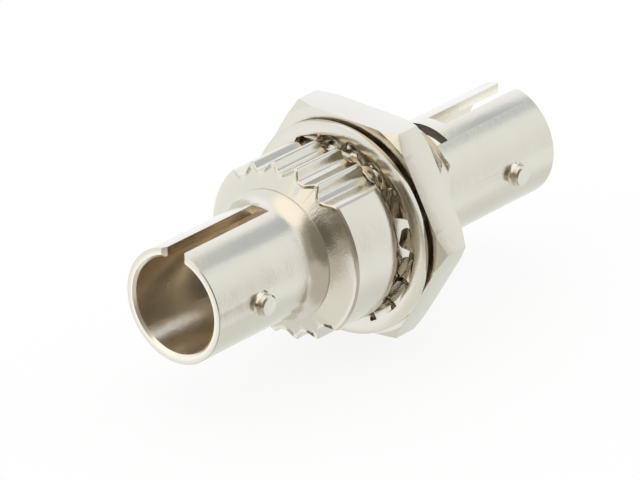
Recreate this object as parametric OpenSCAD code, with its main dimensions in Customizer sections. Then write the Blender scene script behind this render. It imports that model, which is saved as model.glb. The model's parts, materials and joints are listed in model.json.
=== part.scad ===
// Bulkhead adapter for two bayonet fibre plugs with 2.5 mm ferrules.
// +X runs along the bore from the near port to the far port, +Z is the side
// of the key slots, and X = 0 is the panel seat on the back of the flange.
// All sizes are in millimetres.

/* [Barrels] */
// outside diameter of both bayonet barrels
barrel_d = 7.0; // [6.6:0.05:7.4]
// bore of both ports
port_bore_d = 5.86; // [5.5:0.02:6.1]
// panel seat to the near mouth
near_len = 13.45; // [12:0.05:16]
// panel seat to the far mouth
far_len = 16.5; // [15:0.1:20]
// chamfer inside each mouth
mouth_chamfer = 0.16; // [0.05:0.01:0.25]

/* [Bayonet] */
// width of the key slots
slot_w = 1.25; // [0.8:0.05:1.6]
// lead-in at the mouth corners of the slots
slot_lead = 0.25; // [0.1:0.05:0.4]
// length of the near key slot
slot_near = 7.5; // [5:0.05:7.8]
// length of the far key slot
slot_far = 6.75; // [5:0.05:7.2]
// diameter of the four bayonet lugs
lug_d = 1.3; // [1:0.05:1.6]
// blend at the foot of a lug
lug_blend = 0.4; // [0.1:0.05:0.5]
// size over a pair of lugs
lug_span = 8.2; // [7.8:0.05:8.6]
// mouth to the centre of a lug
lug_back = 3.6; // [2.5:0.1:5]

/* [Flange] */
// outside diameter of the grip flange
flange_d = 11.1; // [10.4:0.1:12]
// thickness of the grip flange
flange_t = 3.85; // [2.6:0.05:4.4]
// depth of the grip grooves
groove_depth = 0.6; // [0.2:0.05:0.8]
// grooves in the top row, and again in the bottom row
groove_count = 5; // [1:1:7]
// angle from one groove to the next
groove_pitch = 18; // [12:1:20]
// length of the lower hollow, barrel side
hollow_a = 1.3; // [0.6:0.05:1.8]
// rise of the lower hollow
hollow_rise = 0.47; // [0.2:0.01:0.6]
// length of the upper hollow, flange side
hollow_b = 0.75; // [0.4:0.05:1.2]

/* [Threaded boss] */
// diameter over the thread crests
thread_d = 9.52; // [9:0.01:10]
// pitch of the thread
thread_pitch = 0.79; // [0.5:0.01:1]
// panel seat to the end of the boss
boss_len = 6.75; // [5.6:0.05:8]
// size across the two side flats
flat_w = 7.12; // [7.06:0.02:8.8]

/* [Latch windows] */
// width of the latch windows
window_w = 3.4; // [2:0.1:4]
// length of the latch windows
window_len = 1.7; // [1:0.1:2]

/* [Nut] */
// size across the flats of the nut
nut_af = 13.0; // [12:0.1:14]
// thickness of the nut
nut_t = 2.25; // [1.6:0.05:2.9]
// depth taken off the corners on each face
nut_corner = 0.32; // [0.1:0.02:0.5]

/* [Lock washer] */
// outside diameter of the lock washer
washer_od = 13.2; // [12.2:0.1:14]
// thickness of the washer sheet
washer_t = 0.45; // [0.3:0.05:0.6]
// radial width of the plain rim
washer_rim = 1.0; // [0.7:0.05:1.1]
// number of inner teeth
tooth_count = 18; // [8:1:20]
// width of one tooth
tooth_w = 1.05; // [0.6:0.05:1.2]
// twist of the teeth out of the sheet
tooth_twist = 28; // [5:1:40]
// gap left for the panel, seat to washer teeth
panel_gap = 0.5; // [0.2:0.05:1.2]

/* [Ferrule sleeve] */
// bore of the split sleeve
sleeve_id = 2.5; // [2.4:0.01:2.6]
// outside diameter of the split sleeve
sleeve_od = 3.2; // [3:0.05:3.4]
// length of the split sleeve
sleeve_len = 11.4; // [10.4:0.1:12]
// width of the slit along the sleeve
sleeve_slit = 0.5; // [0.3:0.05:0.8]
// outside diameter of the holder nose
holder_nose_d = 4.4; // [4.2:0.05:4.7]
// room round the sleeve in its holder
sleeve_float = 0.06; // [0.03:0.01:0.1]

/* [Hidden] */
$fn = 96;
eps = 0.5;
// running room between nut and boss, on the radius
nut_room = 0.04;
washer_room = 0.08;
barrel_r = barrel_d / 2;
port_r = port_bore_d / 2;
flange_r = flange_d / 2;
boss_r = thread_d / 2;
lug_r = lug_d / 2;
boss_cone = thread_pitch * 0.4;
// middle of the part, where the ferrules meet
mid_x = (far_len - near_len) / 2;
// split sleeve and its holders
sleeve_r = sleeve_od / 2;
cavity_r = sleeve_r + sleeve_float;
holder_r = port_r - 0.2;
end_room = 0.1;
lip_t = 0.5;
lip_r = sleeve_id / 2 + 0.18;
nose_r = holder_nose_d / 2;
holder_len = sleeve_len / 2 + end_room + lip_t;
// floor of each port, and the shoulder that stops the front holder
near_floor_x = mid_x - holder_len;
far_floor_x = mid_x + holder_len;
shoulder_t = 0.6;
shoulder_r = nose_r + 0.1;
// hollow between the near barrel and the flange
hollow_x1 = -flange_t - hollow_b;
hollow_x0 = hollow_x1 - hollow_a;
hollow_r1 = barrel_r + hollow_rise;
hollow_r2 = min(flange_r - groove_depth + 0.2, flange_r - 0.3);
// flange grooves
groove_root = flange_r - groove_depth;
rim_chamfer = 0.12;
// latch windows just behind the boss
window_x = boss_len + 0.3;
// lock washer and nut as they sit, finger loose
washer_r = washer_od / 2;
rim_in_r = washer_r - washer_rim;
tooth_in_r = boss_r + washer_room;
tooth_half = tooth_w / 2 * sin(tooth_twist) + washer_t / 2 * cos(tooth_twist);
washer_x = panel_gap + tooth_half;
nut_x = washer_x + tooth_half + 0.05;
nut_bore_r = boss_r + nut_room;
nut_corner_r = nut_af / 2 / cos(30);

// turns a shape drawn up Z so that it lies along +X
module along_x(x = 0) translate([x, 0, 0]) rotate([0, 90, 0]) children();

// points of a hollow arc from (x0, r0) to (x1, r1), given its first slope
function arc_points(x0, r0, x1, r1, slope, n = 10) =
    let (chord = atan2(r1 - r0, x1 - x0), turn = 2 * (chord - slope),
         rad = norm([x1 - x0, r1 - r0]) / 2 / sin(turn / 2))
    [for (i = [0:n]) let (a = slope + turn * i / n)
        [r0 + rad * (cos(slope) - cos(a)), x0 + rad * (sin(a) - sin(slope))]];

// point at radius r and angle a from the top, in an across-the-axis section
function polar(r, a) = [-r * cos(a), -r * sin(a)];

// one saw-shaped groove, steep wall first, in the same section
module groove_shape(a) {
    p1 = polar(flange_r, a + 0.02 * groove_pitch);
    p2 = polar(groove_root, a + 0.20 * groove_pitch);
    p3 = polar(groove_root, a + 0.55 * groove_pitch);
    p4 = polar(flange_r, a + 0.97 * groove_pitch);
    polygon([p1 + (p1 - p2), p2, p3, p4 + (p4 - p3)]);
}

// ---------------------------------------------------------------- body
module body_solid() {
    // near barrel, the double hollow and the grip flange
    along_x() rotate_extrude()
        polygon(concat(
            [[0, 0.0], [0, -near_len], [barrel_r - 0.05, -near_len],
             [barrel_r, -near_len + 0.05]],
            arc_points(hollow_x0, barrel_r, hollow_x1, hollow_r1, 0),
            arc_points(hollow_x1, hollow_r1, -flange_t, hollow_r2, 25),
            [[flange_r - rim_chamfer, -flange_t],
             [flange_r, -flange_t + rim_chamfer],
             [flange_r, -rim_chamfer], [flange_r - rim_chamfer, 0]]));
    // threaded boss with its two side flats
    intersection() {
        along_x(-eps) union() {
            cylinder(r = boss_r, h = boss_len - boss_cone + eps);
            translate([0, 0, boss_len - boss_cone + eps])
                cylinder(r1 = boss_r, r2 = boss_r - boss_cone, h = boss_cone);
        }
        translate([-2 * eps, -flat_w / 2, -flange_d])
            cube([boss_len + 4 * eps, flat_w, 2 * flange_d]);
    }
    // far barrel
    along_x() cylinder(r = barrel_r, h = far_len - 0.05);
    along_x(far_len - 0.05)
        cylinder(r1 = barrel_r, r2 = barrel_r - 0.05, h = 0.05);
    // bayonet lugs
    for (x = [-near_len + lug_back, far_len - lug_back], s = [-1, 1])
        translate([x, 0, 0]) rotate([-90 * s, 0, 0]) rotate_extrude() polygon([
            [0, port_r + 0.1], [lug_r + lug_blend, port_r + 0.1],
            [lug_r + lug_blend, barrel_r - 0.5 * lug_blend],
            [lug_r + 0.4 * lug_blend, barrel_r],
            [lug_r, barrel_r + 0.6 * lug_blend],
            [lug_r, lug_span / 2 - 0.1], [lug_r - 0.1, lug_span / 2],
            [0, lug_span / 2]]);
}

// outline of a key slot, drawn with its mouth at zero
module slot_shape(length) polygon([
    [-eps, -slot_w / 2 - slot_lead], [0, -slot_w / 2 - slot_lead],
    [slot_lead, -slot_w / 2], [length, -slot_w / 2],
    [length, slot_w / 2], [slot_lead, slot_w / 2],
    [0, slot_w / 2 + slot_lead], [-eps, slot_w / 2 + slot_lead]]);

module body() color([0.80, 0.79, 0.75]) difference() {
    body_solid();
    // near port
    along_x(-near_len - eps)
        cylinder(r = port_r, h = near_len + near_floor_x + eps);
    along_x(-near_len)
        cylinder(r1 = port_r + mouth_chamfer, r2 = port_r, h = mouth_chamfer);
    // shoulder that stops the front holder
    along_x(near_floor_x - eps)
        cylinder(r = shoulder_r, h = shoulder_t + 2 * eps);
    // holder bore, slightly narrower than the ports
    along_x(near_floor_x + shoulder_t)
        cylinder(r = holder_r, h = 2 * holder_len - shoulder_t + eps);
    // far port
    along_x(far_floor_x)
        cylinder(r = port_r, h = far_len - far_floor_x + eps);
    along_x(far_len - mouth_chamfer)
        cylinder(r1 = port_r, r2 = port_r + mouth_chamfer, h = mouth_chamfer);
    // key slots
    translate([-near_len, 0, port_r / 2])
        linear_extrude(barrel_r) slot_shape(slot_near);
    translate([far_len, 0, port_r / 2]) rotate([0, 0, 180])
        linear_extrude(barrel_r) slot_shape(slot_far);
    // latch windows, top and bottom
    for (s = [0, 180]) rotate([s, 0, 0])
        translate([window_x, -window_w / 2, port_r / 2])
            cube([window_len, window_w, barrel_r]);
    // grip grooves, top and bottom
    for (s = [0, 180], i = [0:groove_count - 1]) rotate([s, 0, 0])
        along_x(-flange_t - eps) linear_extrude(flange_t + eps - 0.001)
            groove_shape((i - groove_count / 2) * groove_pitch);
}

// ------------------------------------------------------ sleeve holders
// a collar with a nose, drawn with the meeting face at zero
module holder_shell(collar) difference() {
    union() {
        cylinder(r = holder_r, h = collar);
        cylinder(r = nose_r, h = holder_len);
    }
    translate([0, 0, -eps])
        cylinder(r = cavity_r, h = holder_len - lip_t + eps);
    cylinder(r = lip_r, h = holder_len + eps);
    translate([0, 0, holder_len - 0.3])
        cylinder(r1 = lip_r, r2 = lip_r + 0.3, h = 0.301);
}

module front_holder() color([0.22, 0.22, 0.23])
    translate([mid_x, 0, 0]) rotate([0, -90, 0])
        holder_shell(holder_len - shoulder_t);

module rear_holder() color([0.22, 0.22, 0.23]) {
    along_x(mid_x) holder_shell(holder_len);
    // snap nubs that sit in the latch windows
    intersection() {
        along_x(window_x + 0.1) difference() {
            cylinder(r = (port_r + barrel_r) / 2, h = far_floor_x - window_x - 0.2);
            translate([0, 0, -eps]) cylinder(r = holder_r - 0.3, h = 4);
        }
        translate([0, -window_w / 2 + 0.1, -flange_r])
            cube([far_len, window_w - 0.2, flange_d]);
    }
}

// ------------------------------------------------------- split sleeve
module split_sleeve() color([0.96, 0.96, 0.94])
    translate([mid_x - sleeve_len / 2, 0, 0]) difference() {
        along_x() cylinder(r = sleeve_r, h = sleeve_len);
        along_x(-eps) cylinder(r = sleeve_id / 2, h = sleeve_len + 2 * eps);
        translate([-eps, -sleeve_slit / 2, -sleeve_od])
            cube([sleeve_len + 2 * eps, sleeve_slit, sleeve_od]);
    }

// -------------------------------------------------------- lock washer
module lock_washer() color([0.78, 0.77, 0.73]) {
    along_x(washer_x - washer_t / 2) difference() {
        cylinder(r = washer_r, h = washer_t);
        translate([0, 0, -eps]) cylinder(r = rim_in_r, h = washer_t + 2 * eps);
    }
    // twisted teeth, trimmed to the bore of the washer
    difference() {
        for (i = [0:tooth_count - 1])
            rotate([i * 360 / tooth_count, 0, 0])
                translate([washer_x, 0, tooth_in_r - 0.2])
                    rotate([0, 0, tooth_twist])
                        translate([-washer_t / 2, -tooth_w / 2, 0])
                            cube([washer_t, tooth_w, rim_in_r - tooth_in_r + 0.5]);
        along_x(washer_x - 2) cylinder(r = tooth_in_r, h = 4);
    }
}

// ---------------------------------------------------------------- nut
module hex_nut() color([0.79, 0.78, 0.74]) difference() {
    intersection() {
        rotate([30, 0, 0]) along_x(nut_x)
            cylinder(r = nut_corner_r, h = nut_t, $fn = 6);
        along_x(nut_x) rotate_extrude() polygon([
            [0, 0], [nut_corner_r - nut_corner / tan(30), 0],
            [nut_corner_r + 0.1, nut_corner + 0.1 * tan(30)],
            [nut_corner_r + 0.1, nut_t - nut_corner - 0.1 * tan(30)],
            [nut_corner_r - nut_corner / tan(30), nut_t], [0, nut_t]]);
    }
    along_x(nut_x - eps) cylinder(r = nut_bore_r, h = nut_t + 2 * eps);
    along_x(nut_x - 0.001) cylinder(r1 = nut_bore_r + 0.3, r2 = nut_bore_r, h = 0.3);
    along_x(nut_x + nut_t - 0.299)
        cylinder(r1 = nut_bore_r, r2 = nut_bore_r + 0.3, h = 0.3);
}

body();
front_holder();
rear_holder();
split_sleeve();
lock_washer();
hex_nut();
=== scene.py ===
# %% [markdown]
# # A bulkhead adapter for bayonet fibre plugs
#
# The real part is a nickel-plated casting about 30 mm long. A plug goes into
# each slotted barrel, and a washer and a nut clamp the grip flange to a panel.
# This lesson dresses the exact solids for a studio picture: it turns, threads
# and bevels the metal pieces, plates them, and lights them in a white tent.

# %% Load the frame
import json
import math

import bmesh
import bpy
from mathutils import Matrix, Vector

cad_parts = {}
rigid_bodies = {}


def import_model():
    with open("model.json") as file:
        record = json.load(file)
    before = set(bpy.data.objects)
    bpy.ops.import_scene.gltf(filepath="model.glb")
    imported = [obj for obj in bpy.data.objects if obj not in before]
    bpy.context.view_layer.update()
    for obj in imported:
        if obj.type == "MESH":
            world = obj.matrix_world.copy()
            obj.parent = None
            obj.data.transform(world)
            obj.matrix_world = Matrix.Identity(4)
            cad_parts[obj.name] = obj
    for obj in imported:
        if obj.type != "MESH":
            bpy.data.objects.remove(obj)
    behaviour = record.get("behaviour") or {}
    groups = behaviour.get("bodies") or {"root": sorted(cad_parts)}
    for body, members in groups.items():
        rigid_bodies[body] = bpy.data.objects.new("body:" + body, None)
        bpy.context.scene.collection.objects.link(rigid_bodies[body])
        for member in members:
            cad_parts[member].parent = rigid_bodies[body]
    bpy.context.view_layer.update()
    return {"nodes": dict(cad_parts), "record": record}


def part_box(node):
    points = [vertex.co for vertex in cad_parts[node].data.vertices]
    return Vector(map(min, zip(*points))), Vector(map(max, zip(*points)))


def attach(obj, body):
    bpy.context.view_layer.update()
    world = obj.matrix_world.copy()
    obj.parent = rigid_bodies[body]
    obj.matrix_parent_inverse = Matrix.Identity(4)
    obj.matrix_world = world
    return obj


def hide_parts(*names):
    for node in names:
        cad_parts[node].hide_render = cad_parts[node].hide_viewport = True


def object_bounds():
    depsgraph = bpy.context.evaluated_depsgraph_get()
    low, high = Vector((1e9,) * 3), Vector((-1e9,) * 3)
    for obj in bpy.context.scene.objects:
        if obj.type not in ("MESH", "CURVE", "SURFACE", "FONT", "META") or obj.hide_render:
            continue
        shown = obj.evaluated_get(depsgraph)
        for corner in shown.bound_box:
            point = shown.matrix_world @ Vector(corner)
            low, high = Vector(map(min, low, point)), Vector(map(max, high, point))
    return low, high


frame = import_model()
scene = bpy.context.scene
print("nodes:", sorted(frame["nodes"]))

# %% [markdown]
# ## Sizes
#
# The boxes of the solids give the places of the mouths, the flange, the washer
# and the nut, and the mounts give the bores. Sizes that no box can give, such
# as the thread's pitch, are named just before they are used, the way a
# machinist would call them out: lengths in millimetres, and steps round the
# axis in degrees. Only the helpers turn them into Blender's metres.

# %% Sizes from the frame
MM = 0.001


def box_mm(node):
    """Lowest and highest corner of a node, in millimetres."""
    low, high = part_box(node)
    return low / MM, high / MM


body_low, body_high = box_mm("body")
near_x = body_low.x
far_x = body_high.x
flange_r = body_high.y
bore_r = {m["name"]: m["dims"]["r_mm"] for m in frame["record"]["mounts"] if m["dims"]}
port_r = bore_r["near_port"]
near_floor = box_mm("front_holder")[0].x
far_floor = box_mm("rear_holder")[1].x
print(f"mouths at {near_x:.2f} and {far_x:.2f} mm, flange {2 * flange_r:.2f} mm across")

# %% [markdown]
# ## One helper for turned metal
#
# Nearly every piece here comes off a lathe. Blender's Screw modifier could spin
# a profile, but it would be the same all the way round. One function makes them
# all instead: it takes rings of points round the X axis and skins them into a
# closed mesh. A ring may bulge, dip or twist with the angle, which is how the
# grip grooves, the thread and the hexagon are made without any cutting.

# %% The ring helper
def around(x, radius, angle):
    """A point at an angle from the top (+Z), turning right-handed about +X."""
    return Vector((x, -radius * math.sin(angle), radius * math.cos(angle))) * MM


def even_angles(count):
    """So many angles, evenly spread over one turn."""
    return [2 * math.pi * i / count for i in range(count)]


def piece_from(name, bm):
    """Turn a finished bmesh into an object with its faces all facing out."""
    bmesh.ops.recalc_face_normals(bm, faces=bm.faces)
    mesh = bpy.data.meshes.new(name)
    bm.to_mesh(mesh)
    bm.free()
    piece = bpy.data.objects.new(name, mesh)
    scene.collection.objects.link(piece)
    return piece


def skin_rings(name, rings):
    """A closed mesh from rings of equal length; the last ring joins the first."""
    bm = bmesh.new()
    count = len(rings[0])
    rows = [[bm.verts.new(p) for p in ring] for ring in rings]
    for a, b in zip(rows, rows[1:] + rows[:1]):
        for i in range(count):
            j = (i + 1) % count
            bm.faces.new((a[i], a[j], b[j], b[i]))
    bmesh.ops.remove_doubles(bm, verts=bm.verts, dist=1e-7)
    return piece_from(name, bm)


print("ring helper ready")

# %% [markdown]
# ## Cutting and softening
#
# Slots and windows are cut with a boolean, as a mill would. Afterwards the
# corners that a hand would feel get a narrow bevel, because plated edges are
# never knife sharp and their thin highlights are what makes small metal parts
# look real. Each piece has its own rule for which edges those are: where they
# lie, and by how many degrees the faces on either side turn.

# %% Cutters and booleans
def prism(name, outline, low, high):
    """A straight-sided cutter: an outline in X and Y between two heights."""
    bm = bmesh.new()
    lower = [bm.verts.new(Vector((x, y, low)) * MM) for x, y in outline]
    upper = [bm.verts.new(Vector((x, y, high)) * MM) for x, y in outline]
    bm.faces.new(lower)
    bm.faces.new(upper)
    for i in range(len(outline)):
        j = (i + 1) % len(outline)
        bm.faces.new((lower[i], lower[j], upper[j], upper[i]))
    return piece_from(name, bm)


def combine(piece, cutter, operation):
    """Cut or add one mesh and bake the result into the piece."""
    mod = piece.modifiers.new("combine", "BOOLEAN")
    mod.operation = operation
    mod.object = cutter
    mod.solver = "MANIFOLD"
    bpy.context.view_layer.update()
    made = bpy.data.meshes.new_from_object(
        piece.evaluated_get(bpy.context.evaluated_depsgraph_get()))
    piece.modifiers.clear()
    piece.data = made
    bpy.data.objects.remove(cutter)


print("cutters ready")

# %% Bevels
edge_round = 0.07


def edge_place(edge):
    """Where the middle of an edge is: along the axis and away from it, in mm."""
    middle = (edge.verts[0].co + edge.verts[1].co) / 2 / MM
    return middle.x, math.hypot(middle.y, middle.z)


def sharper_than(edge, degrees):
    """Whether the faces on either side of an edge turn by more than that."""
    return edge.calc_face_angle() > math.radians(degrees)


def bevel_edges(piece, width, pick):
    """Round the edges that pick chooses, in four small steps."""
    bm = bmesh.new()
    bm.from_mesh(piece.data)
    chosen = [e for e in bm.edges if len(e.link_faces) == 2 and pick(e)]
    bmesh.ops.bevel(bm, geom=chosen, offset=width * MM, segments=4, affect="EDGES",
                    profile=0.5, clamp_overlap=True, loop_slide=True)
    bmesh.ops.remove_doubles(bm, verts=bm.verts, dist=2e-7)
    bm.to_mesh(piece.data)
    bm.free()
    print(f"{piece.name}: {len(chosen)} edges bevelled by {width} mm")


print(f"most corners are rounded by {edge_round} mm")

# %% Shading
still_smooth = 28
flat_weight = 80


def finish_shading(piece):
    """Smooth shading that keeps flat faces flat and true corners crisp."""
    bm = bmesh.new()
    bm.from_mesh(piece.data)
    for face in bm.faces:
        face.smooth = True
    for edge in bm.edges:
        edge.smooth = not (len(edge.link_faces) == 2 and sharper_than(edge, still_smooth))
    bm.to_mesh(piece.data)
    bm.free()
    weighted = piece.modifiers.new("even shading", "WEIGHTED_NORMAL")
    weighted.keep_sharp = True
    weighted.weight = flat_weight
    print(f"{piece.name}: {len(piece.data.polygons)} faces")


print(f"faces that turn by less than {still_smooth} degrees are shaded as one")

# %% [markdown]
# ## The thread
#
# A thread could be swept along a helix and cut with a boolean, which is slow and
# leaves slivers. A fine 60 degree thread is only a radius that depends on how
# far along and how far round the boss a point lies, so a function will do. Using
# it for the boss and for the nut keeps them in mesh, at rest and wherever the
# nut is turned to.

# %% Thread profile
thread_r = 4.76
thread_pitch = 0.79
thread_depth = 0.43
half_crest = thread_pitch / 16
steps_per_turn = 12


def thread_radius(x, angle):
    """Radius of the thread: flat crest, 30 degree flanks, flat root."""
    along = (x / thread_pitch - angle / (2 * math.pi)) % 1.0
    from_crest = abs(along - 0.5) * thread_pitch
    fall = max(0.0, from_crest - half_crest) * math.sqrt(3)
    return thread_r - min(fall, thread_depth)


print(f"thread from {thread_r - thread_depth:.2f} to {thread_r:.2f} mm radius")

# %% [markdown]
# ## The body
#
# On the real part the barrels, the double hollow, the grip flange and the
# threaded boss are one casting, so here they are one skin, with no seam to hide
# between them. Its outline is a list of stations from the near mouth to the far
# mouth and back through the bore. The flange's stations dip into the grip
# grooves, and the boss's follow the thread and its two flats.
#
# The grooves are saw-shaped: a steep wall, a flat floor and a long ramp. Their
# radius is averaged over a few degrees, which rounds the corners as casting
# does. The angles lie close together only where there are grooves to draw.

# %% Grip grooves as a radius
groove_depth = 0.6
groove_count = 5
groove_pitch = 18
groove_round = 2.0
groove_shape = ((0.02, 0), (0.20, groove_depth), (0.55, groove_depth), (0.97, 0))


def groove_corners(start):
    """Angle, in degrees, and radius of the four corners of one saw-shaped groove."""
    return [(start + share * groove_pitch, flange_r - depth) for share, depth in groove_shape]


groove_starts = [side + (i - groove_count / 2) * groove_pitch
                 for side in (0, 180) for i in range(groove_count)]


def sharp_groove(degrees):
    """Outer radius of the grip flange at an angle, with sharp corners."""
    for start in groove_starts:
        corners = groove_corners(start)
        here = (degrees - corners[0][0]) % 360 + corners[0][0]
        for (a0, r0), (a1, r1) in zip(corners, corners[1:]):
            if a0 <= here <= a1:
                return r0 + (r1 - r0) * (here - a0) / (a1 - a0)
    return flange_r


def round_groove(angle):
    """The same radius with the corners rounded, as casting leaves them."""
    shifts = [groove_round * s / 6 for s in range(-6, 7)]
    return sum(sharp_groove(math.degrees(angle) + s) for s in shifts) / len(shifts)


print(f"{len(groove_starts)} grooves, {groove_depth} mm deep")

# %% Angles round the body
row_margin = 0.1
fine_step = 0.6
plain_step = 2.5

half_row = (groove_count / 2 + row_margin) * groove_pitch
fine = [side - half_row + fine_step * i for side in (0, 180)
        for i in range(round(2 * half_row / fine_step) + 1)]
plain = [side + half_row + plain_step * i for side in (0, 180)
         for i in range(1, round((180 - 2 * half_row) / plain_step) + 1)]
angles = sorted(math.radians(d) % (2 * math.pi) for d in fine + plain)
groove_radii = [round_groove(a) for a in angles]
print(f"{len(fine)} close angles and {len(plain)} wide ones round the body")

# %% [markdown]
# The outline is kept as short lists, one for each run of the casting. Two arcs
# would hide the line between the hollows, so the first hollow ends in a narrow
# flat, the crease, and the second is a straight cone. Behind the grip the
# flange rolls over gently, as it does where a casting is tumbled.

# %% Outline of the near barrel and the flange
barrel_r = 3.5
mouth_break = 0.05
flange_t = 3.85
hollow_a = 1.3
hollow_rise = 0.47
hollow_b = 0.75
crease_w = 0.13
above_groove_root = 0.2
rear_roll = [(-1.1, 0), (-0.8, 0.01), (-0.5, 0.04), (-0.25, 0.10), (-0.08, 0.17), (0, 0.26)]


def arc(x0, r0, x1, r1, slope, steps=10):
    """Points of an arc that starts at a slope, in degrees, and ends at x1, r1."""
    chord = math.atan2(r1 - r0, x1 - x0)
    turn = 2 * (chord - math.radians(slope))
    start = math.radians(slope)
    size = math.hypot(x1 - x0, r1 - r0) / 2 / math.sin(turn / 2)
    return [(x0 + size * (math.sin(start + turn * i / steps) - math.sin(start)),
             r0 + size * (math.cos(start) - math.cos(start + turn * i / steps)))
            for i in range(steps + 1)]


hollow_x1 = -flange_t - hollow_b
hollow_x0 = hollow_x1 - hollow_a
hollow_r = barrel_r + hollow_rise
cone_end = flange_r - groove_depth + above_groove_root
near_side = ([(near_x, barrel_r - mouth_break), (near_x + mouth_break, barrel_r)]
             + arc(hollow_x0, barrel_r, hollow_x1, hollow_r, 0)
             + [(hollow_x1 + crease_w, hollow_r)])
flange_side = [(x, flange_r - drop) for x, drop in rear_roll]
print(f"hollows from {hollow_x0:.2f} to {-flange_t:.2f} mm")

# %% Outline of the far barrel and the bore
boss_len = 6.75
mouth_chamfer = 0.16
holder_r = port_r - 0.2
shoulder_r = 2.3
shoulder_t = 0.6

far_side = [(boss_len, barrel_r), (far_x - mouth_break, barrel_r),
            (far_x, barrel_r - mouth_break)]
bore_side = [(far_x, port_r + mouth_chamfer), (far_x - mouth_chamfer, port_r),
             (far_floor, port_r), (far_floor, holder_r),
             (near_floor + shoulder_t, holder_r), (near_floor + shoulder_t, shoulder_r),
             (near_floor, shoulder_r), (near_floor, port_r),
             (near_x + mouth_chamfer, port_r), (near_x, port_r + mouth_chamfer)]
print(f"{len(bore_side)} stations in the bore")

# %% [markdown]
# A plain ring can't draw the raised lip at the front of the flange, because the
# lip keeps its width where it dips round the grooves. It has three rings of its
# own, whose points follow the grooves. The boss has rings twelve to a turn, so
# its thread comes out as a true helix, and its flats are only points pulled in.

# %% Rings that follow the grooves and the thread
lip_corner = 0.12
corner_fade = 0.4
lip_in_groove = 0.24
boss_cone = 0.4 * thread_pitch
flat_half = 3.56


def with_grooves(x, radius):
    """A ring of the flange: its own radius, or the groove's where that is less."""
    return [around(x, min(radius, r), a) for a, r in zip(angles, groove_radii)]


def front_lip(land, groove):
    """Three rings where the cone of the hollow turns into a lip round the flange."""
    slope = (-flange_t - hollow_x1 - crease_w) / (cone_end - hollow_r)
    foot, edge, top = [], [], []
    for a, r in zip(angles, groove_radii):
        dip = (flange_r - r) / groove_depth
        height = land + (groove - land) * dip
        corner = lip_corner * (1 - corner_fade * dip)
        x = -flange_t - (cone_end - (r - height)) * slope
        foot.append(around(x, r - height, a))
        edge.append(around(x, r - corner, a))
        top.append(around(x + corner, r, a))
    return [foot, edge, top]


def boss_point(x, angle):
    """A point on the threaded boss, trimmed by its end cone and its flats."""
    radius = min(thread_radius(x, angle), thread_r - boss_cone + (boss_len - x))
    p = around(x, radius, angle)
    p.y = max(-flat_half * MM, min(flat_half * MM, p.y))
    return p


print(f"flats {2 * flat_half:.2f} mm apart")

# %% Build the body
boss_steps = round(steps_per_turn * boss_len / thread_pitch)
rings = [with_grooves(x, r) for x, r in near_side]
rings += front_lip(flange_r - cone_end, lip_in_groove)
rings += [with_grooves(x, r) for x, r in flange_side]
rings += [[boss_point(boss_len * i / boss_steps, a) for a in angles]
          for i in range(boss_steps + 1)]
rings += [[around(x, r, a) for a in angles] for x, r in far_side + bore_side]
body = skin_rings("adapter_body", rings)
print(f"turned body: {len(body.data.polygons)} faces")

# %% Mill the key slots and the latch windows
slot_w = 1.25
slot_lead = 0.25
slot_near = 7.5
slot_far = 6.75
slot_overrun = 0.5
window_x = boss_len + 0.3
window_w = 3.4
window_len = 1.7
through_top = (1, 5)
through_bottom = (-5, -1)


def slot_outline(mouth, way, length):
    """A key slot seen from above, with a lead-in where the key enters."""
    half, lead = slot_w / 2, slot_lead
    shape = [(-slot_overrun, half + lead), (0, half + lead), (lead, half), (length, half)]
    side = [(mouth + way * x, y) for x, y in shape]
    return side + [(x, -y) for x, y in reversed(side)]


window = [(window_x, -window_w / 2), (window_x + window_len, -window_w / 2),
          (window_x + window_len, window_w / 2), (window_x, window_w / 2)]
for name, outline, depth in (("near_slot", slot_outline(near_x, 1, slot_near), through_top),
                             ("far_slot", slot_outline(far_x, -1, slot_far), through_top),
                             ("top_window", window, through_top),
                             ("bottom_window", window, through_bottom)):
    combine(body, prism(name, outline, *depth), "DIFFERENCE")
print(f"after milling: {len(body.data.polygons)} faces")

# %% [markdown]
# The bayonet ring of a plug locks on four lugs. Each is turned about its own
# axis, with a quarter-round blend at the foot, and joined on with a union, so
# that no seam shows where it stands on the barrel.

# %% Add the four bayonet lugs
lug_r = 0.65
lug_blend = 0.4
lug_tip = 4.1
lug_edge = 0.1
lug_back = 3.6
lug_root = barrel_r - 0.5
blend_foot = barrel_r - 0.2
blend_height = 0.44
blend_steps = 8
lug_sides = 40


def lug(x, side):
    """A lug as rings round its own axis, with a blend at its foot."""
    profile = [(lug_root, lug_r + lug_blend), (blend_foot, lug_r + lug_blend)]
    for i in range(blend_steps + 1):
        turn = math.radians(90 * i / blend_steps)
        profile.append((blend_foot + blend_height * (1 - math.cos(turn)),
                        lug_r + lug_blend * (1 - math.sin(turn))))
    profile += [(lug_tip - lug_edge, lug_r), (lug_tip, lug_r - lug_edge)]
    rings = [[Vector((x + r * math.cos(a), side * y, r * math.sin(a))) * MM
              for a in even_angles(lug_sides)] for y, r in profile]
    for y in (lug_tip, lug_root):
        rings.append([Vector((x, side * y, 0)) * MM] * lug_sides)
    return skin_rings("lug", rings)


for x in (near_x + lug_back, far_x - lug_back):
    for side in (-1, 1):
        combine(body, lug(x, side), "UNION")
print(f"with lugs: {len(body.data.polygons)} faces")

# %% Round the corners of the body
body_corner = 12
hair = 0.02
boss_foot = barrel_r + 0.05
crease_reach = crease_w + hair
grip_x0, grip_x1 = -flange_t - 0.35, -0.2
grip_floor = flange_r - groove_depth - 0.4


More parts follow.
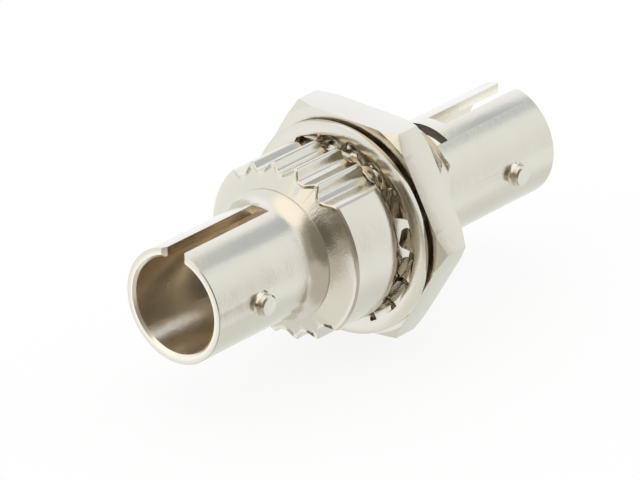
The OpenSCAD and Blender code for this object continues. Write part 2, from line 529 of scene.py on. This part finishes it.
def on_body_corner(edge):
    """Corners to round: not the crisp thread, the crease, nor the lip and the grooves."""
    x, radius = edge_place(edge)
    on_thread = hair < x < boss_len - hair and radius > boss_foot
    on_crease = abs(x - hollow_x1) < crease_reach and radius > barrel_r
    on_grip = grip_x0 < x < grip_x1 and radius > grip_floor
    return sharper_than(edge, body_corner) and not (on_thread or on_crease or on_grip)


bevel_edges(body, edge_round, on_body_corner)
finish_shading(body)
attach(body, "adapter")
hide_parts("body")

# %% [markdown]
# ## The nut
#
# A nut could be a six-sided prism, drilled and then trimmed with a cone. But a
# hexagon is also a turned shape if its radius follows the angle, and then the
# ring helper makes it in one go. The chamfer is the cone that trims its six
# corners, so its depth grows towards each corner and draws the curved edge that
# every real nut shows on its flats.

# %% Sizes of the nut
nut_corner = 0.32
nut_room = 0.04
mouth_flare = 0.3
chamfer_angle = math.pi / 6
nut_sides = 240

nut_low, nut_high = box_mm("hex_nut")
nut_flats = nut_high.z - nut_low.z
nut_x0, nut_x1 = nut_low.x, nut_high.x
nut_corner_r = nut_flats / 2 / math.cos(math.pi / 6)
face_r = nut_corner_r - nut_corner / math.tan(chamfer_angle)
bore_mouth = thread_r + nut_room + mouth_flare
nut_angles = even_angles(nut_sides)
print(f"nut {nut_flats:.2f} mm across the flats, {nut_x1 - nut_x0:.2f} mm thick")

# %% Rings of the nut
def hexagon_radius(angle):
    """Radius of the hexagon, flats up and down."""
    from_flat = (angle + math.pi / 6) % (math.pi / 3) - math.pi / 6
    return nut_flats / 2 / math.cos(from_flat)


def nut_bore(x, angle):
    """Radius in the nut's bore: the thread, opened out at both faces."""
    depth = min(x - nut_x0, nut_x1 - x)
    return max(thread_radius(x, angle) + nut_room, bore_mouth - depth)


def nut_ring(x_face, inward, place):
    """One ring on a face of the nut, from its bore out to its corners."""
    ring = []
    for a in nut_angles:
        outer = hexagon_radius(a)
        radius = min(outer, face_r) + place * max(0.0, outer - face_r)
        trim = (radius - face_r) * math.tan(chamfer_angle) if radius > face_r else 0.0
        ring.append(around(x_face + inward * trim, radius, a))
    return ring


print(f"the chamfer starts {face_r:.2f} mm from the axis")

# %% Build the nut
bore_steps = round(steps_per_turn * (nut_x1 - nut_x0) / thread_pitch)
bore_xs = [nut_x0 + (nut_x1 - nut_x0) * i / bore_steps for i in range(bore_steps + 1)]
rings = [[around(x, nut_bore(x, a), a) for a in nut_angles] for x in bore_xs]
rings += [nut_ring(nut_x1, -1, t) for t in (0, 0.5, 1)]
rings += [nut_ring(nut_x0, 1, t) for t in (1, 0.5, 0)]
nut = skin_rings("panel_nut", rings)
print(f"turned nut: {len(nut.data.polygons)} faces")

# %% Round the corners of the nut
nut_edge = 22


def on_nut_corner(edge):
    """Corners to round: all but the crisp thread in the bore."""
    return edge_place(edge)[1] > bore_mouth - hair and sharper_than(edge, nut_edge)


bevel_edges(nut, edge_round, on_nut_corner)
finish_shading(nut)
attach(nut, "nut")
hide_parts("hex_nut")

# %% [markdown]
# ## The lock washer
#
# It is stamped from spring sheet: a plain rim with teeth that leave it flat and
# twist out of the sheet towards the bore, so that they bite the panel on one
# side and the nut on the other. The stamp also dishes the rim's front a little.
# The washer is loose until the nut is tight, so it hangs a little below the axis.
#
# A flat comb of teeth could be bent with a modifier, but then every tooth would
# be alike. Here each tooth is a short run of sections that turn a little more
# the nearer they come to the tip, with a flared root and a rounded end, and it
# stops just short of the thread it hangs over.

# %% Sizes of the washer
washer_low, washer_high = box_mm("lock_washer")
washer_r = washer_high.z
washer_mid = (washer_low.x + washer_high.x) / 2
washer_hang = Vector((0, -0.04, -0.25))
washer_t = 0.45
half_t = washer_t / 2
rim_room = 0.1
rim_w = 0.75
rim_flat = 0.2
rim_dish = 0.14
rim_out = washer_r - rim_room
rim_in = rim_out - rim_w

tooth_count = 18
tooth_overlap = 0.08
tooth_root = rim_in + tooth_overlap
tooth_tip = 4.84
tooth_clear = 0.05
tooth_w = 1.2
print(f"washer rim from {rim_in:.2f} to {rim_out:.2f} mm radius, {tooth_count} teeth")

# %% One section of a tooth
def tooth_section(radius, turn, centre, width):
    """Corners of one section across a tooth that points away from the axis."""
    radial = Vector((0, -math.sin(centre), math.cos(centre)))
    across = Vector((0, -math.cos(centre), -math.sin(centre)))
    along = Vector((1, 0, 0))
    wide = across * math.cos(turn) + along * math.sin(turn)
    thick = along * math.cos(turn) - across * math.sin(turn)
    middle = radial * radius + Vector((washer_mid, 0, 0)) + washer_hang
    return [(middle + wide * (width / 2 * u) + thick * (half_t * v)) * MM
            for u, v in ((-1, -1), (1, -1), (1, 1), (-1, 1))]


print(f"teeth {tooth_w} mm wide and {washer_t} mm thick")

# %% One tooth
twist = math.radians(28)
twist_from, twist_over = 0.12, 0.5
root_flare, flare_over = 0.55, 0.5
tip_rounding, rounding_over = 0.35, 0.4
tooth_steps = 12


def section_at(share, centre):
    """The section at a share of the way down a tooth, from its root to its tip."""
    inward = Vector((0, math.sin(centre), -math.cos(centre)))
    tip = max(tooth_tip, thread_r + tooth_clear + washer_hang.dot(inward))
    radius = tooth_root - share * (tooth_root - tip)
    eased = max(0.0, min(1.0, (share - twist_from) / twist_over))
    turn = -twist * eased * eased * (3 - 2 * eased)
    flare = root_flare * max(0.0, 1 - share / flare_over) ** 2
    to_tip = max(0.0, (share - (1 - rounding_over)) / rounding_over)
    rounding = 1 - tip_rounding * to_tip ** 2
    return tooth_section(radius, turn, centre, (tooth_w + flare) * rounding)


def tooth(centre):
    """One tooth, just long enough to clear the thread it hangs over."""
    bm = bmesh.new()
    made = [[bm.verts.new(p) for p in section_at(i / tooth_steps, centre)]
            for i in range(tooth_steps + 1)]
    for a, b in zip(made, made[1:]):
        for i in range(4):
            bm.faces.new((a[i], a[(i + 1) % 4], b[(i + 1) % 4], b[i]))
    bm.faces.new(made[0])
    bm.faces.new(made[-1])
    return piece_from("tooth", bm)


print(f"each tooth twists by {math.degrees(twist):.0f} degrees in {tooth_steps} steps")

# %% Build the washer
rim_sides = 180
rim = [(washer_mid - half_t, rim_in), (washer_mid + half_t, rim_in),
       (washer_mid + half_t, rim_out), (washer_mid - half_t + rim_dish, rim_out),
       (washer_mid - half_t, rim_in + rim_flat)]
washer = skin_rings("toothed_washer", [[around(x, r, a) + washer_hang * MM
                                        for a in even_angles(rim_sides)] for x, r in rim])
for centre in even_angles(tooth_count):
    combine(washer, tooth(centre), "UNION")
print(f"stamped washer: {len(washer.data.polygons)} faces")

# %% Round the corners of the washer
washer_round = 0.11
washer_edge = 30


def on_washer_corner(edge):
    """Every stamped corner is tumbled round."""
    return sharper_than(edge, washer_edge)


bevel_edges(washer, washer_round, on_washer_corner)
finish_shading(washer)
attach(washer, "washer")
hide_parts("lock_washer")

# %% [markdown]
# ## Finishes
#
# Bright nickel is a smooth film over a surface that is not quite smooth. It
# could be one plain colour with one roughness, but then it would look like
# plastic foil. One node group gives all the metal pieces their grain instead: a
# fine pebble in the height, cloudy roughness, a faint change of tone, and small
# worn specks along the edges. The casting has the most of it and the washer the
# least.
#
# First come short helpers, because the same few nodes are used many times.

# %% Sockets and values
def put(tree, socket, value):
    """Set a socket to a number or a colour, or link it to another node."""
    if isinstance(value, (int, float)):
        socket.default_value = value
    elif isinstance(value, tuple):
        socket.default_value = (*value, 1)
    else:
        tree.links.new(value, socket)


def math_node(tree, operation, a, b, clamp=False):
    """Two values, or a value and a number, made into one."""
    node = tree.nodes.new("ShaderNodeMath")
    node.operation = operation
    node.use_clamp = clamp
    put(tree, node.inputs[0], a)
    put(tree, node.inputs[1], b)
    return node.outputs[0]


print("value helpers ready")

# %% Vectors and noise
def vector_node(tree, operation, a, b=None):
    """The outputs of one vector operation; b is a node's output or a constant."""
    node = tree.nodes.new("ShaderNodeVectorMath")
    node.operation = operation
    tree.links.new(a, node.inputs[0])
    if isinstance(b, bpy.types.NodeSocket):
        tree.links.new(b, node.inputs[1])
    elif b is not None:
        node.inputs[1].default_value = b
    return node.outputs


def noise_node(tree, where, scale, detail=3.0, roughness=0.5):
    """Noise with so many grains to the metre, from 0 to 1."""
    node = tree.nodes.new("ShaderNodeTexNoise")
    tree.links.new(where, node.inputs["Vector"])
    node.inputs["Scale"].default_value = scale
    node.inputs["Detail"].default_value = detail
    node.inputs["Roughness"].default_value = roughness
    return node.outputs["Fac"]


print("vector and noise helpers ready")

# %% Masks, mixes and relief
def ramp_node(tree, value, start, full):
    """A soft mask that is 0 at start and 1 at full."""
    ramp = tree.nodes.new("ShaderNodeMapRange")
    ramp.interpolation_type = "SMOOTHSTEP"
    tree.links.new(value, ramp.inputs["Value"])
    ramp.inputs["From Min"].default_value = start
    ramp.inputs["From Max"].default_value = full
    return ramp.outputs["Result"]


def tint_node(tree, share, under, over, blend="MIX"):
    """One colour or value laid over another, or multiplied with it, by a mask."""
    mix = tree.nodes.new("ShaderNodeMix")
    mix.data_type = "RGBA"
    mix.blend_type = blend
    put(tree, mix.inputs["Factor"], share)
    put(tree, mix.inputs["A"], under)
    put(tree, mix.inputs["B"], over)
    return mix.outputs["Result"]


def relief_node(tree, height, strength, distance_mm):
    """The normal of a surface that height lifts by up to the distance."""
    bump = tree.nodes.new("ShaderNodeBump")
    bump.inputs["Strength"].default_value = strength
    bump.inputs["Distance"].default_value = distance_mm * MM
    tree.links.new(height, bump.inputs["Height"])
    return bump.outputs["Normal"]


print("mask, mix and relief helpers ready")

# %% Start the group for plated surfaces
nickel = (0.68, 0.63, 0.55)
plating = bpy.data.node_groups.new("plated surface", "ShaderNodeTree")
# The colour for the bore is lighter than nickel on the casting: painted light that brightens
# its shaded inside.
for label, kind, value in (("Tone", "NodeSocketColor", (*nickel, 1)),
                           ("Bore Tone And Painted Light", "NodeSocketColor", (*nickel, 1)),
                           ("Roughness", "NodeSocketFloat", 0.3),
                           ("Bore Roughness", "NodeSocketFloat", 0.3),
                           ("Wear", "NodeSocketFloat", 0.5),
                           ("Cloud", "NodeSocketFloat", 0.06),
                           ("Pebble", "NodeSocketFloat", 1.0)):
    socket = plating.interface.new_socket(label, in_out="INPUT", socket_type=kind)
    socket.default_value = value
for label, kind in (("Color", "NodeSocketColor"), ("Roughness", "NodeSocketFloat"),
                    ("Height", "NodeSocketFloat")):
    plating.interface.new_socket(label, in_out="OUTPUT", socket_type=kind)
given = plating.nodes.new("NodeGroupInput").outputs
out = plating.nodes.new("NodeGroupOutput").inputs
place = plating.nodes.new("ShaderNodeTexCoord").outputs["Object"]
print("group:", plating.name, [socket.name for socket in given if socket.name])

# %% [markdown]
# The grain has four sizes: clouds 2 mm wide, swells half as wide, specks of a
# third of a millimetre, and pebbles just fine enough to see. The bath reaches
# the inside of a barrel less well, so the bore's plating is duller than the
# outside. On the casting the bore's colour is also painted lighter than the
# outside, a painted light that brightens its shaded inside. A mask finds the
# bore by how far a point lies from the axis. Wear is found by comparing the
# true face with a slightly rounded one: they disagree only near an edge. The
# specks then break that mask up.

# %% Grain of the plating
cloud = noise_node(plating, place, scale=420)
swell = noise_node(plating, place, scale=900, detail=2)
speckle = noise_node(plating, place, scale=3200, roughness=0.6)
pebble = noise_node(plating, place, scale=7000, detail=2)
print("grain: cloud, swell, speckle, pebble")

# %% Masks for the bore and for worn edges
bore_blend = 0.1
wear_reach = 0.12

off_axis = vector_node(plating, "MULTIPLY", place, (0, 1, 1))["Vector"]
from_axis = vector_node(plating, "LENGTH", off_axis)["Value"]
in_bore = ramp_node(plating, from_axis, (barrel_r - bore_blend) * MM,
                    (port_r + bore_blend) * MM)

rounded = plating.nodes.new("ShaderNodeBevel")
rounded.samples = 4
rounded.inputs["Radius"].default_value = wear_reach * MM
facet = plating.nodes.new("ShaderNodeNewGeometry").outputs["True Normal"]
agree = vector_node(plating, "DOT_PRODUCT", rounded.outputs["Normal"], facet)["Value"]
at_edge = ramp_node(plating, agree, start=0.985, full=0.90)
in_speck = ramp_node(plating, speckle, start=0.56, full=0.64)
worn = math_node(plating, "MULTIPLY", at_edge, in_speck)
worn = math_node(plating, "MULTIPLY", worn, given["Wear"])
print("masks: bore, worn edges")

# %% Tone, roughness and height of the plating
worn_nickel = (0.38, 0.33, 0.25)
cloud_tint = (0.93, 0.92, 0.88)
cloud_share = 0.6

rough = tint_node(plating, in_bore, given["Roughness"], given["Bore Roughness"])
shift = math_node(plating, "SUBTRACT", cloud, 0.5)
shift = math_node(plating, "MULTIPLY", shift, given["Cloud"])
rough = math_node(plating, "ADD", rough, shift, clamp=True)

# Inside the bore the colour changes to the bore's own, which on the casting is painted
# lighter: painted light for the shaded bore.
tone = tint_node(plating, in_bore, given["Tone"], given["Bore Tone And Painted Light"])
tone = tint_node(plating, math_node(plating, "MULTIPLY", cloud, cloud_share), tone,
                 cloud_tint, "MULTIPLY")
tone = tint_node(plating, worn, tone, worn_nickel)

lift = math_node(plating, "MULTIPLY", pebble, given["Pebble"])
lift = math_node(plating, "ADD", lift, swell)

plating.links.new(tone, out["Color"])
plating.links.new(rough, out["Roughness"])
plating.links.new(lift, out["Height"])
print(f"{len(plating.nodes)} nodes in the group")

# %% Material helpers
def new_material(name, colour):
    """A material with its node tree and its main shader."""
    mat = bpy.data.materials.new(name)
    mat.use_nodes = True
    mat.diffuse_color = (*colour, 1)
    return mat, mat.node_tree, mat.node_tree.nodes["Principled BSDF"]


def dress(piece, mat):
    """Give a piece its one material."""
    piece.data.materials.clear()
    piece.data.materials.append(mat)
    print(f"{piece.name}: {mat.name}")


print("material helpers ready")

# %% Metal materials
def plated(name, bore_rgb_and_painted_light, bore_roughness, **values):
    """Bright nickel; values are the group's Roughness, Wear, Cloud and Pebble."""
    mat, tree, shader = new_material(name, nickel)
    shader.inputs["Metallic"].default_value = 1.0
    finish = tree.nodes.new("ShaderNodeGroup")
    finish.node_tree = plating
    finish.inputs["Tone"].default_value = (*nickel, 1)
    finish.inputs["Bore Tone And Painted Light"].default_value = (*bore_rgb_and_painted_light, 1)
    finish.inputs["Bore Roughness"].default_value = bore_roughness
    for label, value in values.items():
        finish.inputs[label].default_value = value
    tree.links.new(finish.outputs["Color"], shader.inputs["Base Color"])
    tree.links.new(finish.outputs["Roughness"], shader.inputs["Roughness"])
    relief = relief_node(tree, finish.outputs["Height"], strength=0.8, distance_mm=0.016)
    tree.links.new(relief, shader.inputs["Normal"])
    return mat


# The casting's bore colour is lighter than nickel: painted light that brightens the shaded
# bore.
dress(body, plated("nickel on casting", (0.88, 0.81, 0.71), 0.26,
                   Roughness=0.19, Wear=0.45, Cloud=0.10, Pebble=0.5))
dress(nut, plated("nickel on turned brass", nickel, 0.2,
                  Roughness=0.20, Wear=0.35, Cloud=0.06, Pebble=0.4))
dress(washer, plated("nickel on spring steel", nickel, 0.2,
                     Roughness=0.16, Wear=0.3, Cloud=0.05, Pebble=0.3))

# %% [markdown]
# ## Holders and sleeve
#
# They sit deep in the bore, and their exact solids stay as they are. The
# holders are moulded in dark plastic with a dull skin, and the sleeve is ground
# ceramic, smooth enough to shine. One noise drives tone, roughness and relief
# together, as the grain of a mould or a wheel does.

# %% Plastic and ceramic materials
rough_spread = 0.12


def grained(name, colour, roughness, grain, coat=0.0):
    """A material whose grain, in grains to the metre, shades and lifts it a little."""
    mat, tree, shader = new_material(name, colour)
    shader.inputs["Coat Weight"].default_value = coat
    where = tree.nodes.new("ShaderNodeTexCoord").outputs["Object"]
    speck = noise_node(tree, where, grain, detail=4)
    darker = tuple(c * 0.9 for c in colour)
    lighter = tuple(min(1, c * 1.08) for c in colour)
    shade = tint_node(tree, speck, darker, lighter)
    rough = math_node(tree, "MULTIPLY", speck, rough_spread)
    rough = math_node(tree, "ADD", rough, roughness - rough_spread / 2)
    relief = relief_node(tree, speck, strength=0.2, distance_mm=0.01)
    tree.links.new(shade, shader.inputs["Base Color"])
    tree.links.new(rough, shader.inputs["Roughness"])
    tree.links.new(relief, shader.inputs["Normal"])
    return mat


holder_plastic = grained("dull moulded plastic", (0.20, 0.19, 0.17), 0.5, 3500)
sleeve_ceramic = grained("ground ceramic", (0.86, 0.85, 0.82), 0.25, 1800, 0.3)
dress(frame["nodes"]["front_holder"], holder_plastic)
dress(frame["nodes"]["rear_holder"], holder_plastic)
dress(frame["nodes"]["split_sleeve"], sleeve_ceramic)

# %% [markdown]
# ## Floor and light tent
#
# Small metal parts are set in a white tent, because polished metal has no look
# of its own: it only shows what stands round it. Lamps and cards could be built
# as objects, but a tent painted in the world by direction has no edges to place
# and lights every view alike. It is pale cloth all round and brightest
# overhead. It has a dark opening in front, and a few soft cards, light and
# dark, give the hollows, the lugs and the far barrel their depth. Each card is a
# mask and a colour, laid over the ones before it.

# %% Directions in the tent
world = bpy.data.worlds.new("light tent")
scene.world = world
world.use_nodes = True
tree = world.node_tree
tree.nodes.clear()
look = tree.nodes.new("ShaderNodeTexCoord").outputs["Generated"]
split = tree.nodes.new("ShaderNodeSeparateXYZ")
tree.links.new(look, split.inputs[0])
height = split.outputs["Z"]


def toward(direction):
    """How far a direction lies toward the given one, from -1 to 1."""
    return vector_node(tree, "DOT_PRODUCT", look, Vector(direction).normalized())["Value"]


def facing(direction, start, full):
    """Mask of the part of the tent that lies round a direction."""
    return ramp_node(tree, toward(direction), start, full)


frontward = toward((-0.49, -0.87, 0))
front = math_node(tree, "MAXIMUM", ramp_node(tree, frontward, 0.26, 0.46),
                  facing((0.10, -0.65, -0.75), 0.84, 0.95))
opening = math_node(tree, "MULTIPLY", ramp_node(tree, frontward, 0.40, 0.60),
                    ramp_node(tree, height, -0.10, 0.06))
print("tent opens in front")

# %% Cloth and cards of the tent
cloth = (0.735, 0.785, 0.80)
cards = [("ground", ramp_node(tree, height, -0.45, -0.70), (0.60, 0.63, 0.62)),
         ("far wall", facing((0.69, 0.60, 0.40), 0.80, 0.95), (0.84, 0.88, 0.96)),
         ("seam above", facing((0.67, -0.10, 0.73), 0.95, 0.995), (0.42, 0.47, 0.52)),
         ("low left", facing((-0.69, 0.58, -0.43), 0.85, 0.97), (0.80, 0.84, 0.88)),
         ("front", front, (0.44, 0.43, 0.39)),
         ("under the mouth", facing((-0.72, 0.10, -0.68), 0.92, 0.98), (0.68, 0.70, 0.67)),
         ("ceiling", ramp_node(tree, height, 0.78, 0.92), (0.97, 0.95, 0.89)),
         ("side lamp", facing((-0.77, -0.05, 0.64), 0.80, 0.90), (0.93, 0.91, 0.85)),
         ("opening", opening, (0.28, 0.27, 0.23)),
         ("dark card", facing((-0.45, -0.85, 0.30), 0.80, 0.93), (0.18, 0.17, 0.14)),
         ("end card", facing((-0.99, -0.12, 0.05), 0.955, 0.985), (0.09, 0.08, 0.06))]
for name, mask, colour in cards:
    cloth = tint_node(tree, mask, cloth, colour)
print("tent:", ", ".join(name for name, mask, colour in cards))

# %% White for the camera, the tent for everything else
tent_level = 1.5

tent = tree.nodes.new("ShaderNodeBackground")
tent.inputs["Strength"].default_value = tent_level
tree.links.new(cloth, tent.inputs["Color"])
white = tree.nodes.new("ShaderNodeBackground")
white.inputs["Color"].default_value = (1, 1, 1, 1)
path = tree.nodes.new("ShaderNodeLightPath")
blend = tree.nodes.new("ShaderNodeMixShader")
tree.links.new(path.outputs["Is Camera Ray"], blend.inputs["Fac"])
tree.links.new(tent.outputs[0], blend.inputs[1])
tree.links.new(white.outputs[0], blend.inputs[2])
result = tree.nodes.new("ShaderNodeOutputWorld")
tree.links.new(blend.outputs[0], result.inputs["Surface"])
print("tent lit at", tent_level)

# %% [markdown]
# The floor is one sheet of white paper. The camera sees it almost as plain
# white, and just enough of the paper is left in it to hold the part's shadow.
# Mirror rays pass through it to the lower half of the tent, which is painted as
# the same paper: whiter at the sides, greyer in front, where the tent is open.

# %% Floor
floor_gap = 0.02
reach = 900

floor_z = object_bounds()[0].z / MM - floor_gap
mesh = bpy.data.meshes.new("floor")
mesh.from_pydata([Vector((x, y, floor_z)) * MM for x, y in
                  ((-reach, -reach), (reach, -reach), (reach, reach), (-reach, reach))],
                 [], [(0, 1, 2, 3)])
floor = bpy.data.objects.new("floor", mesh)
scene.collection.objects.link(floor)
floor.visible_glossy = False
print(f"floor at {floor_z:.2f} mm")

# %% Paper
paper_rgb = (0.92, 0.92, 0.91)
white_share = 0.88

paper, tree, matte = new_material("white paper", paper_rgb)
matte.inputs["Base Color"].default_value = (*paper_rgb, 1)
matte.inputs["Roughness"].default_value = 0.9
matte.inputs["Specular IOR Level"].default_value = 0.1
seen = tree.nodes.new("ShaderNodeEmission")
path = tree.nodes.new("ShaderNodeLightPath")
seen_share = math_node(tree, "MULTIPLY", path.outputs["Is Camera Ray"], white_share)
for_camera = tree.nodes.new("ShaderNodeMixShader")
tree.links.new(seen_share, for_camera.inputs["Fac"])
tree.links.new(matte.outputs[0], for_camera.inputs[1])
tree.links.new(seen.outputs[0], for_camera.inputs[2])
tree.links.new(for_camera.outputs[0], tree.nodes["Material Output"].inputs["Surface"])
dress(floor, paper)

# %% [markdown]
# ## Camera
#
# A long lens from well back keeps the two barrels nearly parallel. The camera is
# set by the way it looks back from the part, and by where it aims. Light may
# bounce twelve times between bright pieces, so that the narrow gap between the
# washer and the nut doesn't go black.

# %% Camera
azimuth = math.radians(-49.77)
elevation = math.radians(25.78)
roll = math.radians(0.40)
distance = 392.35
aim = Vector((0.212, 0.766, -1.051))
lens = 382.06

back = Vector((math.sin(azimuth) * math.cos(elevation),
               -math.cos(azimuth) * math.cos(elevation), math.sin(elevation)))
right = Vector((math.cos(azimuth), math.sin(azimuth), 0))
up = back.cross(right)
level = Matrix((right, up, back)).transposed()
camera = bpy.data.objects.new("camera", bpy.data.cameras.new("camera"))
scene.collection.objects.link(camera)
camera.data.sensor_width = 36
camera.data.lens = lens
camera.data.clip_start = 0.01
camera.data.clip_end = 10
camera.matrix_world = (Matrix.Translation((aim + back * distance) * MM)
                       @ (level @ Matrix.Rotation(roll, 3, "Z")).to_4x4())
scene.camera = camera
scene.view_settings.view_transform = "Standard"
scene.cycles.glossy_bounces = 12
print("camera at", [round(v / MM, 1) for v in camera.location])
